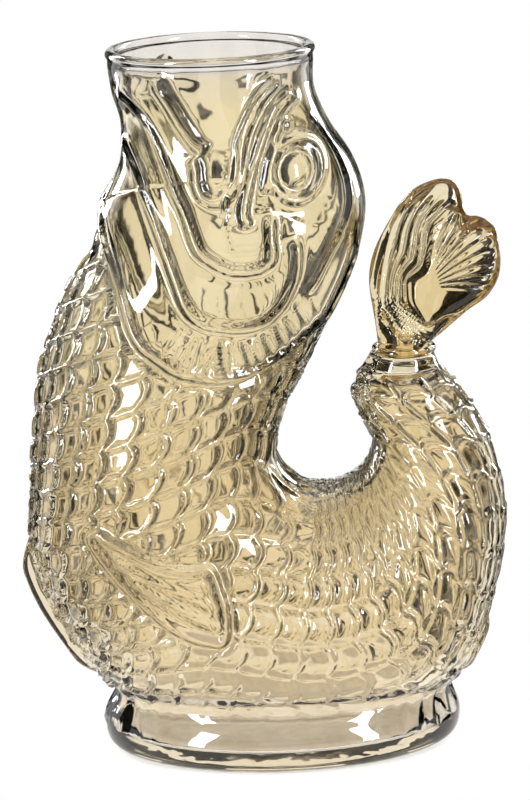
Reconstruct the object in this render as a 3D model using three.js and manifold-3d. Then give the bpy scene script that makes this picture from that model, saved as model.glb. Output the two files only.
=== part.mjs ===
// A fish-shaped water carafe in tinted glass. The fish stands on its belly, its open mouth is the
// pouring rim, and its tail curls up behind as the grip.
// Millimetres, +Z up. The origin is the middle of the foot's underside, +X points to the tail, and
// the two flanks mirror each other in the plane Y = 0.
import * as THREE from 'three';
import { mergeVertices } from 'three/addons/utils/BufferGeometryUtils.js';
import Module from 'manifold-3d';

const wasm = await Module();
wasm.setup();

// Glass thickness, and the clearance between pieces that are fused to each other.
const WALL = 4;
const BASE_THICKNESS = 7;
const FUSE_GAP = 0.3;

// Overall: height of the rim, length from the belly fin to the tail fin, width across the flanks.
const HEIGHT = 262;
const LENGTH = 180;
const WIDTH = 104;

// Mouth: a round fire-polished rim.
const MOUTH_X = -0.0972 * LENGTH;
const MOUTH_RADIUS = 38;
const LIP_ROUNDING = 0.42 * WALL;

// Finger gap: the round hollow between the fish's back and its tail.
const GAP_X = 0.108 * LENGTH;
const GAP_Z = 0.435 * HEIGHT;
const GAP_RADIUS = 18.8;

// Foot: an oval pad with a rounded edge, drawn in to a waist where it meets the belly.
const FOOT_LENGTH = 134;
const FOOT_WIDTH = 102;
const FOOT_HEIGHT = 16;
const FOOT_EDGE = 5;
const WAIST_INSET = 3.5;
const FOOT_REACH = 14;

// Tail joint: a flat round end on the blown body, with the solid fin and a bead of glass on it.
const JOINT_X = 0.2755 * LENGTH;
const JOINT_Z = 0.5534 * HEIGHT;
const JOINT_RADIUS = 11.2;
const BEAD_WALL = 1.5;
const BEAD_HEIGHT = 3.2;
const BEAD_BULGE = 0.5;
const STALK_RADIUS = JOINT_RADIUS - BEAD_WALL - FUSE_GAP;
const END_WALL = 9;

// Relief: how far each moulded feature stands out from the flank, and how deep it is rooted.
const GILL_RELIEF = 1.6;
const EYE_RELIEF = 2.6;
const PECTORAL_RELIEF = 1.8;
const RIM_RELIEF = 3.6;
const RIM_HALF = 3;
const LIP_RELIEF = 3;
const LIP_HALF = 2.2;
const SCALE_RELIEF = 2;
const SCALE_REACH = 1.6;
const EYE_DOME = 0.5;
const RELIEF_ROOT = WALL / 4;
const BELLY_FIN_HALF = 3.5;
const BELLY_FIN_TIP_HALF = 2;

// Tail fin: a fan with a twist, a lobed free edge and a rounded tip. A smooth limb runs up its inner
// edge with ribs beside it. A front leaf laps over the ribs, with pleats that fan out from its palm,
// and the stalk is hollowed beside the leaf's point. Places along the fin run from 0 at the joint to
// 1 at the free edge. The far face has a share of the near face's relief.
const FIN_SPAN = 50;
const FIN_RISE = 65;
const FIN_HALF = 9.5;
const FIN_TWIST = 3;
const FAN_START = 0.2;
const FAN_FULL = 0.6;
const LOBES_START = 0.35;
const TIP_ROUNDING = 0.16;
const TIP_THIN = 0.25;
const DRESSED_FROM = 0.16;
const DRESSED_FULL = 0.28;
const FAR_SHARE = 0.4;
const STEP_HALF = 1.2;
const LIMB_RELIEF = 1.3;
const LIMB_REACH = 6;
const RIB_COUNT = 4;
const RIB_DEPTH = 1.1;
const RIBS_FROM = 0.36;
const RIBS_FULL = 0.5;
const LEAF_RELIEF = 2.8;
const LEAF_REACH = 14;
const PLEAT_DEGREES = 9.5;
const PLEAT_DEPTH = 1.1;
const PALM_RADIUS = 5;
const PALM_REACH = 13;
const SMOOTH_FROM = 0.86;
const SMOOTH_FULL = 0.96;
const CUP_DEPTH = 3;
const CUP_LENGTH = 11;
const CUP_WIDTH = 5.5;

// Fineness of the curved surfaces.
const BODY_ROWS = 55;
const BODY_COLUMNS = 32;
const CAVITY_ROWS = 44;
const CAVITY_COLUMNS = 24;
const PATCH_ROWS = 10;
const PATCH_COLUMNS = 8;
const RIDGE_ROWS = 10;
const RIDGE_DEGREES = [0, 50, 130, 180, 270];
const RIDGE_END = 0.3;
const FIN_ROWS = 30;
const FIN_ROW_SPREAD = 1.4;
const FIN_COLUMNS = 128;
const LINE_STEPS = 40;
const ROUND_SEGMENTS = 48;
const LIP_DEGREES = [0, 30, 60];
const EDGE_DEGREES = [-90, -67.5, -45, -22.5, 0];
const WELD = 1e-4;

// A point [x, z] in the fish's plane, in percent of its length and of its height.
function at(x, z) {
  return [(x * LENGTH) / 100, (z * HEIGHT) / 100];
}

// A half width in percent of the widest one.
function across(share) {
  return (share * WIDTH) / 200;
}

// A point of the fish's back on the finger gap, at an angle round it from +X.
function onGap(degrees) {
  const angle = THREE.MathUtils.degToRad(degrees);
  return [GAP_X + GAP_RADIUS * Math.cos(angle), GAP_Z + GAP_RADIUS * Math.sin(angle)];
}

// A round section about a vertical axis.
function roundStation(x, z, radius) {
  return { back: [x - radius, z], belly: [x + radius, z], half: radius };
}

// Cross sections from the mouth to the tail joint. Each has a point [x, z] on the back, a point on
// the belly and the half width from flank to flank.
const BODY_STATIONS = [
  { back: [MOUTH_X + MOUTH_RADIUS, HEIGHT], belly: [MOUTH_X - MOUTH_RADIUS, HEIGHT], half: MOUTH_RADIUS },
  { back: at(11, 94.3), belly: at(-30, 94.3), half: across(71.2) },
  { back: at(13.6, 89.3), belly: at(-28.3, 89.7), half: across(72.1) },
  { back: at(18.6, 83.6), belly: at(-28.9, 84.4), half: across(76) },
  { back: at(20.7, 77.5), belly: at(-31.4, 78.2), half: across(79.8) },
  { back: at(18.9, 70.2), belly: at(-35, 71.8), half: across(82.7) },
  { back: at(15, 63.7), belly: at(-41.1, 65.3), half: across(84.6) },
  { back: at(8.1, 56.1), belly: at(-46.1, 56.5), half: across(87.5) },
  { back: at(1.9, 48.9), belly: at(-47.9, 48.5), half: across(92.3) },
  { back: onGap(183), belly: at(-49.4, 39.7), half: across(96.2) },
  { back: onGap(202), belly: at(-50, 28.6), half: across(99) },
  { back: onGap(218), belly: at(-43.9, 17.9), half: across(100) },
  { back: onGap(237), belly: at(-30, 6.5), half: across(100) },
  { back: onGap(256), belly: at(-5.6, 1.5), half: across(98.1) },
  { back: onGap(275), belly: at(16.1, 1.9), half: across(94.2) },
  { back: onGap(295), belly: at(35, 8), half: across(87.5) },
  { back: onGap(316), belly: at(43.6, 19.8), half: across(76.9) },
  { back: onGap(338), belly: at(46.8, 31.7), half: across(63.5) },
  { back: onGap(360), belly: at(44.4, 41.8), half: across(50) },
  { back: at(19.4, 46.8), belly: at(41, 47.3), half: across(40.4) },
  { back: at(18.1, 50.2), belly: at(37.4, 51), half: across(32.7) },
  { back: at(19.2, 52.9), belly: at(35.4, 53), half: across(26) },
  roundStation(JOINT_X, JOINT_Z, JOINT_RADIUS),
];

// Cross sections of the two fins along the belly, each from inside the wall to the fin's edge.
const KEEL_STATIONS = [
  { back: at(-46.7, 30.5), belly: at(-50.7, 31.1), half: BELLY_FIN_TIP_HALF },
  { back: at(-45.6, 26.3), belly: at(-52.1, 25.6), half: BELLY_FIN_HALF },
  { back: at(-42.2, 22.5), belly: at(-50.6, 21.2), half: BELLY_FIN_HALF },
  { back: at(-38.9, 19.1), belly: at(-47.8, 16.6), half: BELLY_FIN_HALF },
  { back: at(-34.4, 15.3), belly: at(-43.6, 12), half: BELLY_FIN_HALF },
  { back: at(-32.2, 12.2), belly: at(-36.1, 8.2), half: BELLY_FIN_TIP_HALF },
];
const ANAL_STATIONS = [
  { back: at(31.7, 11.5), belly: at(36.1, 7.8), half: BELLY_FIN_TIP_HALF },
  { back: at(34.4, 13.7), belly: at(41.6, 11.8), half: BELLY_FIN_HALF },
  { back: at(36.7, 16.4), belly: at(42.3, 15.3), half: BELLY_FIN_HALF },
  { back: at(38.9, 19.1), belly: at(43.2, 18.5), half: BELLY_FIN_TIP_HALF },
];

// Patches moulded on the flank. Each row gives a place along the body, counted in stations, and the
// angles round the section, in degrees from the belly, between which the patch lies there.
const GILL_ROWS = [
  [1.6, 20, 160], [3.3, 18, 158], [4.6, 26, 152], [5.5, 45, 150],
  [6.2, 62, 146], [6.7, 78, 138], [7.05, 100, 116],
];
const EYE_ROWS = [
  [2.3, 117, 124], [2.55, 112, 131], [2.9, 109, 134], [3.25, 109, 130], [3.5, 114, 122],
];
const PECTORAL_ROWS = [
  [9.6, 60, 67], [10.2, 66, 86], [10.8, 71, 98], [11.3, 74, 106], [11.8, 79, 102], [12.2, 84, 92],
];

// Ridges moulded on the flank: the rims of the three gill plates, the lips and the fold beside them.
// Each point gives a place along the body, counted in stations, and an angle from the belly.
const GILL_LINE = [
  [4.97, 30], [5.65, 49], [6.42, 67], [6.76, 83], [6.99, 98],
  [7.04, 110], [6.89, 126], [6.45, 142], [5.85, 152],
];
const CHIN_LINE = [
  [2.66, 22], [4.12, 51], [5.3, 71], [6.03, 87], [6.18, 105], [5.94, 120], [5.24, 122], [4.25, 117],
];
const CHEEK_LINE = [
  [1.14, 34], [2.51, 51], [3.56, 61], [4.46, 72], [4.9, 84], [5.02, 97], [4.67, 109], [3.81, 106],
];
const LIP_LINE = [[0.6, 62], [1.08, 68], [1.78, 71], [2.4, 79]];
const HOOK_LINE = [[0.7, 127], [1.65, 105], [2.33, 96], [3.3, 87], [3.5, 78], [3.1, 73], [2.51, 71]];
const FOLD_LINE = [[0.9, 142], [1.5, 121], [2.29, 106], [3.08, 95], [4.16, 96]];

// Scales cover the body between two places along it.
const SCALES_FROM = 7.3;
const SCALES_TO = 20.6;

// A point [x, z] of the tail fin, in percent of its span and rise from the middle of the joint.
const FIN_FLOOR = JOINT_Z + FUSE_GAP;

function onFin(x, z) {
  return [JOINT_X + (x * FIN_SPAN) / 100, FIN_FLOOR + (z * FIN_RISE) / 100];
}

// Cross sections of the tail fin from the joint to its free edge, between its two side edges.
const FIN_STATIONS = [
  roundStation(JOINT_X, FIN_FLOOR, STALK_RADIUS),
  roundStation(JOINT_X, FIN_FLOOR + BEAD_HEIGHT, STALK_RADIUS),
  { back: onFin(-20.6, 18.8), belly: onFin(30.2, 12.3), half: FIN_HALF },
  { back: onFin(-23.6, 36), belly: onFin(47.6, 23.7), half: 0.95 * FIN_HALF },
  { back: onFin(-23.2, 47.8), belly: onFin(61.8, 31.7), half: 0.86 * FIN_HALF },
  { back: onFin(-19, 59.4), belly: onFin(70.2, 41.5), half: 0.74 * FIN_HALF },
  { back: onFin(-11.2, 71.1), belly: onFin(72.6, 51.8), half: 0.62 * FIN_HALF },
  { back: onFin(-0.8, 84), belly: onFin(71.4, 61.7), half: 0.5 * FIN_HALF },
];

// Lines drawn on the fin: the free edge with its two lobes, the limb's edge and the front leaf's edge.
const FREE_EDGE = [
  onFin(-0.8, 84), onFin(10.2, 92.9), onFin(21, 97.1), onFin(31.6, 98.9), onFin(40.2, 96.9), onFin(45.2, 90.2),
  onFin(46.8, 82.5), onFin(50, 78), onFin(56, 77.6), onFin(63, 75.4), onFin(69.4, 70.3), onFin(71.4, 61.7),
];
const LIMB_EDGE = [
  onFin(9.4, 93.8), onFin(-3.4, 76), onFin(-8.4, 63.8), onFin(-13.2, 48.8), onFin(-15.6, 37.2),
  onFin(-16, 27.2), onFin(-10, 19.2), onFin(-2.6, 8.3),
];
const LEAF_EDGE = [
  onFin(50, 84), onFin(37, 81.7), onFin(30.2, 78), onFin(22.6, 72.2), onFin(20.8, 60), onFin(16.6, 49.4),
  onFin(6.6, 43.5), onFin(5.4, 38.2), onFin(6.2, 32), onFin(10.8, 25.7), onFin(17.4, 17.7), onFin(23.4, 20.6),
  onFin(30.4, 23.5), onFin(39.2, 24), onFin(56, 24),
];
const PALM = onFin(14, 40);
const CUP = onFin(-1, 22);

// The stations as a smooth function of t, 0 at the first one and 1 at the last.
function sectionsOf(stations) {
  const pathOf = (point) => new THREE.CatmullRomCurve3(stations.map(point), false, 'catmullrom', 0.5);
  const back = pathOf((station) => new THREE.Vector3(station.back[0], 0, station.back[1]));
  const belly = pathOf((station) => new THREE.Vector3(station.belly[0], 0, station.belly[1]));
  const half = pathOf((station) => new THREE.Vector3(0, station.half, 0));
  return (t) => {
    const from = back.getPoint(t);
    const reach = belly.getPoint(t).sub(from).multiplyScalar(0.5);
    const axis = reach.clone().normalize();
    return {
      centre: from.add(reach),
      axis,
      along: axis.clone().cross(new THREE.Vector3(0, 1, 0)),
      length: reach.length(),
      half: half.getPoint(t).y,
    };
  };
}

// A point of a section's oval, at an angle from the belly and set in from the outline.
function ovalPoint(section, angle, inset) {
  const point = section.centre.clone();
  point.addScaledVector(section.axis, (section.length - inset) * Math.cos(angle));
  point.y += (section.half - inset) * Math.sin(angle);
  return point;
}

function ring(section, columns, inset = 0, lift = 0) {
  return Array.from({ length: columns }, (_, column) => {
    const point = ovalPoint(section, (2 * Math.PI * column) / columns, inset);
    point.z += lift;
    return point;
  });
}

// The closed surface over a row of rings, with a fan across each end. The quads between the rings are
// split along alternating diagonals, so that every other point can stand out as the top of a pyramid.
// A zipped last ring is closed from side to side instead, as a thin edge needs.
function skin(rings, zipped = false) {
  const columns = rings[0].length;
  const points = rings.flat();
  const faces = [];
  for (let row = 0; row + 1 < rings.length; row += 1) {
    for (let column = 0; column < columns; column += 1) {
      const a = row * columns + column;
      const b = row * columns + ((column + 1) % columns);
      const c = a + columns;
      const d = b + columns;
      faces.push(...((row + column) % 2 === 0 ? [a, b, c, b, d, c] : [a, b, d, a, d, c]));
    }
  }
  const top = (rings.length - 1) * columns;
  for (let i = 0; zipped && i < columns / 2; i += 1) {
    const far = columns - i - 1;
    faces.push(...(i + 1 < far ? [top + i, top + i + 1, top + far] : []));
    faces.push(...(i > 0 ? [top + i, top + far, top + far + 1] : []));
  }
  for (const row of zipped ? [0] : [0, rings.length - 1]) {
    const middle = new THREE.Vector3();
    rings[row].forEach((point) => middle.addScaledVector(point, 1 / columns));
    const hub = points.push(middle) - 1;
    for (let column = 0; column < columns; column += 1) {
      const a = row * columns + column;
      const b = row * columns + ((column + 1) % columns);
      faces.push(...(row === 0 ? [hub, b, a] : [hub, a, b]));
    }
  }
  const geometry = new THREE.BufferGeometry().setFromPoints(points);
  geometry.setIndex(faces);
  return geometry;
}

// A solid of revolution about Z from [radius, z] points that start and end on the axis, or that
// close on themselves.
function turned(points) {
  const profile = points.map(([radius, z]) => new THREE.Vector2(radius, z));
  const geometry = new THREE.LatheGeometry(profile, ROUND_SEGMENTS);
  geometry.rotateX(Math.PI / 2);
  return geometry;
}

// Points [r, z] of a quarter round under and outside a centre.
function quarterRound(centreR, centreZ, radius) {
  return EDGE_DEGREES.map((degrees) => {
    const angle = THREE.MathUtils.degToRad(degrees);
    return [centreR + radius * Math.cos(angle), centreZ + radius * Math.sin(angle)];
  });
}

function solid(geometry) {
  const bare = geometry.clone();
  bare.deleteAttribute('normal');
  bare.deleteAttribute('uv');
  const merged = mergeVertices(bare, WELD);
  return new wasm.Manifold(new wasm.Mesh({
    numProp: 3,
    vertProperties: new Float32Array(merged.attributes.position.array),
    triVerts: new Uint32Array(merged.index.array),
  }));
}

function piece(name, body, colour, roughness) {
  const mesh = body.getMesh();
  const geometry = new THREE.BufferGeometry();
  geometry.setAttribute('position', new THREE.BufferAttribute(new Float32Array(mesh.vertProperties), 3));
  geometry.setIndex(new THREE.BufferAttribute(new Uint32Array(mesh.triVerts), 1));
  geometry.computeVertexNormals();
  const material = new THREE.MeshStandardMaterial({ color: colour, roughness, metalness: 0 });
  const node = new THREE.Mesh(geometry, material);
  node.name = name;
  return node;
}

const bodyAt = sectionsOf(BODY_STATIONS);

// Rings of the lip, from its crown down one side of the glass.
function lipRings(columns, crownInset, turn) {
  return LIP_DEGREES.map((degrees) => {
    const angle = THREE.MathUtils.degToRad(degrees);
    const inset = crownInset + turn * LIP_ROUNDING * Math.sin(angle);
    return ring(bodyAt(0), columns, inset, -LIP_ROUNDING * (1 - Math.cos(angle)));
  });
}

// The body's outer skin. Every other point stands out as a scale, in staggered rows that die away
// towards the back.
function bodyOutside() {
  const rings = lipRings(BODY_COLUMNS, LIP_ROUNDING, -1);
  for (let row = 1; row <= BODY_ROWS; row += 1) {
    const section = bodyAt(row / BODY_ROWS);
    const place = (row / BODY_ROWS) * (BODY_STATIONS.length - 1);
    const scaled = place > SCALES_FROM && place < SCALES_TO;
    rings.push(Array.from({ length: BODY_COLUMNS }, (_, column) => {
      const angle = (2 * Math.PI * column) / BODY_COLUMNS;
      const flank = Math.min(1, SCALE_REACH * (1 + Math.cos(angle)));
      const scale = scaled && (row + column) % 2 === 0 ? SCALE_RELIEF * flank : 0;
      return ovalPoint(section, angle, -scale);
    }));
  }
  return solid(skin(rings));
}

// The cavity opens above the rim and ends inside the tail, short of the joint.
function bodyCavity() {
  const throat = WALL - LIP_ROUNDING;
  const above = ring(bodyAt(0), CAVITY_COLUMNS, throat, WALL);
  const rings = [above, ...lipRings(CAVITY_COLUMNS, throat, 1)];
  for (let row = 1; row <= CAVITY_ROWS; row += 1) {
    const section = bodyAt(row / CAVITY_ROWS);
    if (row > CAVITY_ROWS / 2 && section.centre.z > JOINT_Z - END_WALL) {
      break;
    }
    rings.push(ring(section, CAVITY_COLUMNS, WALL));
  }
  return solid(skin(rings));
}

// The foot at a distance inside its outer surface, turned round and then drawn to an oval.
function foot(inset, floor) {
  const radius = FOOT_LENGTH / 2 - inset;
  const waist = radius - WAIST_INSET;
  const geometry = turned([
    [0, floor],
    ...quarterRound(radius - FOOT_EDGE, floor + FOOT_EDGE, FOOT_EDGE),
    [waist, FOOT_HEIGHT],
    [waist - FOOT_REACH, FOOT_HEIGHT + FOOT_REACH],
    [0, FOOT_HEIGHT + FOOT_REACH],
  ]);
  geometry.scale(1, (FOOT_WIDTH / 2 - inset) / radius, 1);
  return solid(geometry);
}

// A moulded patch on both flanks: a curved plate rooted in the wall, domed by a share of its relief.
function patch(rows, relief, dome) {
  const edges = new THREE.CatmullRomCurve3(rows.map((row) => new THREE.Vector3(...row)));
  const rings = Array.from({ length: PATCH_ROWS + 1 }, (_, row) => {
    const down = row / PATCH_ROWS;
    const [place, from, to] = edges.getPoint(down).toArray();
    const section = bodyAt(place / (BODY_STATIONS.length - 1));
    const outer = [];
    const inner = [];
    for (let column = 0; column <= PATCH_COLUMNS; column += 1) {
      const across = column / PATCH_COLUMNS;
      const angle = THREE.MathUtils.degToRad(from + (to - from) * across);
      const height = 1 - dome + dome * Math.sin(Math.PI * across) * Math.sin(Math.PI * down);
      outer.push(ovalPoint(section, angle, -relief * height));
      inner.unshift(ovalPoint(section, angle, RELIEF_ROOT));
    }
    return [...outer, ...inner];
  });
  const flank = solid(skin(rings));
  return flank.add(flank.mirror([0, 1, 0]));
}

// A raised line on both flanks, rooted in the wall, which tapers at both ends.
function raisedLine(line, relief, half) {
  const steps = line.map(([place, degrees]) => new THREE.Vector3(place, degrees, 0));
  const path = new THREE.CatmullRomCurve3(steps);
  const on = (t, inset) => {
    const { x: place, y: degrees } = path.getPoint(THREE.MathUtils.clamp(t, 0, 1));
    const section = bodyAt(place / (BODY_STATIONS.length - 1));
    return ovalPoint(section, THREE.MathUtils.degToRad(degrees), inset);
  };
  const rings = Array.from({ length: RIDGE_ROWS + 1 }, (_, row) => {
    const t = row / RIDGE_ROWS;
    const middle = on(t, 0);
    const out = on(t, -1).sub(middle).normalize();
    const onward = on(t + 1 / RIDGE_ROWS, 0).sub(on(t - 1 / RIDGE_ROWS, 0));
    const side = out.clone().cross(onward).normalize();
    const size = RIDGE_END + (1 - RIDGE_END) * Math.sqrt(Math.abs(Math.sin(Math.PI * t)));
    return RIDGE_DEGREES.map((degrees) => {
      const angle = THREE.MathUtils.degToRad(degrees);
      const height = Math.sin(angle) > 0 ? size * relief : RELIEF_ROOT;
      const point = middle.clone().addScaledVector(side, size * half * Math.cos(angle));
      return point.addScaledVector(out, height * Math.sin(angle));
    });
  });
  const flank = solid(skin(rings));
  return flank.add(flank.mirror([0, 1, 0]));
}

// A fin along the belly, as a rounded ridge.
function ridge(stations) {
  const at = sectionsOf(stations);
  const rows = Array.from({ length: PATCH_ROWS + 1 }, (_, row) => row / PATCH_ROWS);
  return solid(skin(rows.map((t) => ring(at(t), PATCH_COLUMNS))));
}

const glassBody = bodyOutside()
  .add(foot(0, 0))
  .add(patch(GILL_ROWS, GILL_RELIEF, 0))
  .add(raisedLine(GILL_LINE, RIM_RELIEF, RIM_HALF))
  .add(raisedLine(CHIN_LINE, RIM_RELIEF, RIM_HALF))
  .add(raisedLine(CHEEK_LINE, RIM_RELIEF, RIM_HALF))
  .add(raisedLine(LIP_LINE, LIP_RELIEF, LIP_HALF))
  .add(raisedLine(HOOK_LINE, LIP_RELIEF, LIP_HALF))
  .add(raisedLine(FOLD_LINE, LIP_RELIEF, LIP_HALF))
  .add(patch(EYE_ROWS, EYE_RELIEF, EYE_DOME))
  .add(patch(PECTORAL_ROWS, PECTORAL_RELIEF, 0))
  .add(ridge(KEEL_STATIONS))
  .add(ridge(ANAL_STATIONS))
  .subtract(bodyCavity())
  .subtract(foot(WALL, BASE_THICKNESS));

// A band of glass round the fin's stalk, lying on the flat end of the body.
const beadInside = STALK_RADIUS + FUSE_GAP;
const tailBead = solid(turned([
  [beadInside, 0],
  [JOINT_RADIUS, 0],
  [JOINT_RADIUS + BEAD_BULGE, BEAD_HEIGHT / 2],
  [JOINT_RADIUS, BEAD_HEIGHT],
  [beadInside, BEAD_HEIGHT],
  [beadInside, 0],
])).translate([JOINT_X, 0, FIN_FLOOR]);

// A smooth curve through points [x, z] of the fish's plane.
function drawn(points) {
  const path = points.map(([x, z]) => new THREE.Vector3(x, 0, z));
  return new THREE.CatmullRomCurve3(path, false, 'catmullrom', 0.5);
}

// The distance in the fish's plane from a row of points to a point, positive on the row's left.
function fromLine(line, point) {
  let nearest = Infinity;
  let signed = 0;
  for (let i = 0; i + 1 < line.length; i += 1) {
    const step = line[i + 1].clone().sub(line[i]);
    const offset = point.clone().sub(line[i]).setY(0);
    const along = THREE.MathUtils.clamp(offset.dot(step) / step.lengthSq(), 0, 1);
    offset.addScaledVector(step, -along);
    if (offset.length() < nearest) {
      nearest = offset.length();
      signed = step.x * offset.z < step.z * offset.x ? -nearest : nearest;
    }
  }
  return signed;
}

// How far the near face of the fin stands out at a point, with t the place along the fin.
const ease = THREE.MathUtils.smoothstep;
const limbLine = drawn(LIMB_EDGE).getPoints(LINE_STEPS);
const leafLine = drawn(LEAF_EDGE).getPoints(LINE_STEPS);
function finRelief(point, t) {
  const onLimb = -fromLine(limbLine, point);
  const onLeaf = fromLine(leafLine, point);
  const fade = 1 - ease(t, SMOOTH_FROM, SMOOTH_FULL);
  const limb = LIMB_RELIEF * ease(onLimb, -STEP_HALF, STEP_HALF) * Math.exp(-Math.max(onLimb, 0) / LIMB_REACH);
  const leaf = LEAF_RELIEF * ease(onLeaf, -STEP_HALF, STEP_HALF) * Math.exp(-Math.max(onLeaf, 0) / LEAF_REACH);
  const toLimb = Math.max(-onLimb, 0);
  const toLeaf = Math.max(-onLeaf, 0);
  const ribbed = ease(t, RIBS_FROM, RIBS_FULL) * ease(Math.min(toLimb, toLeaf), 0, STEP_HALF);
  const turns = (RIB_COUNT * toLimb) / Math.max(toLimb + toLeaf, STEP_HALF);
  const rib = RIB_DEPTH * ribbed * Math.cos(2 * Math.PI * turns);
  const palm = new THREE.Vector2(point.x - PALM[0], point.z - PALM[1]);
  const pleatTurn = THREE.MathUtils.radToDeg(Math.atan2(palm.y, palm.x));
  const pleated = ease(palm.length(), PALM_RADIUS, PALM_REACH) * ease(onLeaf, 0, 2 * STEP_HALF);
  const fanned = ease(pleatTurn, -PLEAT_DEGREES, 0);
  const pleat = PLEAT_DEPTH * pleated * fanned * Math.cos((2 * Math.PI * pleatTurn) / PLEAT_DEGREES);
  const down = (point.x - CUP[0] - point.z + CUP[1]) * Math.SQRT1_2;
  const side = (point.x - CUP[0] + point.z - CUP[1]) * Math.SQRT1_2;
  const cup = CUP_DEPTH * Math.exp(-((down / CUP_LENGTH) ** 4) - (side / CUP_WIDTH) ** 4);
  return limb + leaf * fade + (rib + pleat) * fade - cup;
}

// The solid fin: a round stalk that spreads into the dressed fan.
const finAt = sectionsOf(FIN_STATIONS);
const freeEdge = drawn(FREE_EDGE);
const finRings = Array.from({ length: FIN_ROWS + 1 }, (_, row) => {
  const t = 1 - (1 - row / FIN_ROWS) ** FIN_ROW_SPREAD;
  const fanned = ease(t, FAN_START, FAN_FULL);
  const lobed = ease(t, LOBES_START, 1);
  const dressed = ease(t, DRESSED_FROM, DRESSED_FULL);
  const thin = Math.min(1, Math.sqrt((1 - t) / TIP_ROUNDING + TIP_THIN ** 2));
  return ring(finAt(t), FIN_COLUMNS).map((point, column) => {
    const angle = (2 * Math.PI * column) / FIN_COLUMNS;
    const across = Math.cos(angle);
    const face = Math.sin(angle);
    const place = (across + 1) / 2;
    const straight = freeEdge.getPoint(0).lerp(freeEdge.getPoint(1), place);
    point.addScaledVector(freeEdge.getPoint(place).sub(straight), lobed);
    const share = dressed * (face < 0 ? 1 : FAR_SHARE) * ease(Math.abs(face), 0, 0.5);
    const lift = share * finRelief(point, t) * face;
    point.y = thin * (point.y + lift) - FIN_TWIST * across * fanned;
    return point;
  });
});
const tailFin = solid(skin(finRings, true));

const carafe = new THREE.Group();
carafe.name = 'fish_carafe';
carafe.add(piece('glass_body', glassBody, 0xd8c79c, 0.05));
carafe.add(piece('tail_bead', tailBead, 0xd2bd8a, 0.06));
carafe.add(piece('tail_fin', tailFin, 0xc4a566, 0.05));

export default carafe;
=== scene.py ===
import math

import bpy
import numpy as np
from mathutils import Matrix, Vector


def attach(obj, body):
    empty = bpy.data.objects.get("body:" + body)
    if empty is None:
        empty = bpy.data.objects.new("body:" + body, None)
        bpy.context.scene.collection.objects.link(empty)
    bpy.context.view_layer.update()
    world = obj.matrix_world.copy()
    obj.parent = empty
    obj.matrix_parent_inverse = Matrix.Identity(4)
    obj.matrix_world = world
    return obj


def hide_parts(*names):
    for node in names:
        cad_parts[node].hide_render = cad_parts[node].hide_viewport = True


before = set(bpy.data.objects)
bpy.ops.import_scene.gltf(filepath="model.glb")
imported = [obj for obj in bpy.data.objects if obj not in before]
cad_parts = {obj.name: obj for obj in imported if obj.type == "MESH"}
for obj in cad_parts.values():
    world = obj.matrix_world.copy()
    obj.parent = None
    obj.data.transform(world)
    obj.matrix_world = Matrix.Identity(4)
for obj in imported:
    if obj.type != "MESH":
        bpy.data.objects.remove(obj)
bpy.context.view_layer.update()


# The blown body
# One gather of pale champagne glass, blown into a two-part mould that parts along the fish's back and
# belly. The head opens into the fire-polished rim, the belly stands on a flared oval foot and the tail
# curls up to a closed end. Sizes are in millimetres, and the mesh is written in metres.
WALL = 3.4
BASE = 7.0
MOUTH_X = -17.5
MOUTH_RADIUS = 38.0
HEIGHT = 262.0
GAP = (19.4, 114.0)
GAP_RADIUS = 18.8
JOINT = (49.6, 145.0)
JOINT_RADIUS = 11.2
FOOT_HALF = (67.0, 51.0)
FOOT_WIDEST = 8.0
FOOT_WAIST = (19.0, 5.8)
FOOT_TUCK = 1.8
FOOT_EDGE = 4.0
FOOT_FILLET = 9.0


def on_gap(degrees):
    turn = math.radians(degrees)
    return GAP[0] + GAP_RADIUS * math.cos(turn), GAP[1] + GAP_RADIUS * math.sin(turn)


# Sections down the fish, each from its back to its belly in the fish's own plane, with its half width.
OUTLINE = np.array([(*back, *belly, half) for back, belly, half in [
    ((MOUTH_X + MOUTH_RADIUS, HEIGHT), (MOUTH_X - MOUTH_RADIUS, HEIGHT), MOUTH_RADIUS),
    ((19.8, 247), (-54, 247), 37),
    ((24.5, 234), (-51, 235), 37.5),
    ((33.5, 219), (-52, 221), 39.5),
    ((37.3, 203), (-56.5, 205), 41.5),
    ((34, 184), (-63, 188), 43),
    ((27, 167), (-74, 171), 44),
    ((14.5, 147), (-83, 148), 45.5),
    ((3.5, 128), (-86.3, 127), 48),
    (on_gap(183), (-89, 104), 50),
    (on_gap(202), (-90, 75), 51.5),
    (on_gap(218), (-79, 47), 52),
    (on_gap(237), (-54, 17), 52),
    (on_gap(256), (-10, 4), 51),
    (on_gap(275), (29, 5), 49),
    (on_gap(295), (63, 21), 45.5),
    (on_gap(316), (78.5, 52), 40),
    (on_gap(338), (84.3, 83), 33),
    (on_gap(360), (80, 109.5), 26),
    ((35, 122.5), (73.8, 124), 21),
    ((32.6, 131.5), (67.3, 133.5), 17),
    ((34.5, 138.5), (63.3, 138.8), 13.5),
    ((JOINT[0] - JOINT_RADIUS, JOINT[1]), (JOINT[0] + JOINT_RADIUS, JOINT[1]), JOINT_RADIUS),
]])
LAST = len(OUTLINE) - 1


def spline(points, place):
    """A smooth curve through points, with place counted in points."""
    p = np.asarray(points, float)
    p = np.vstack([2 * p[0] - p[1], p, 2 * p[-1] - p[-2]])
    place = np.asarray(place, float)
    i = np.clip(np.floor(place).astype(int), 0, len(p) - 4)
    f = (place - i)[..., None]
    a, b, c, d = p[i], p[i + 1], p[i + 2], p[i + 3]
    return 0.5 * (2 * b + (c - a) * f + (2 * a - 5 * b + 4 * c - d) * f**2 + (3 * b - a - 3 * c + d) * f**3)


def ease(low, high, value):
    f = np.clip((np.asarray(value, float) - low) / (high - low), 0, 1)
    return f * f * (3 - 2 * f)


def soft_min(a, b, radius):
    near = np.maximum(radius - np.abs(a - b), 0) / radius
    return np.minimum(a, b) - near * near * radius / 4


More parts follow.
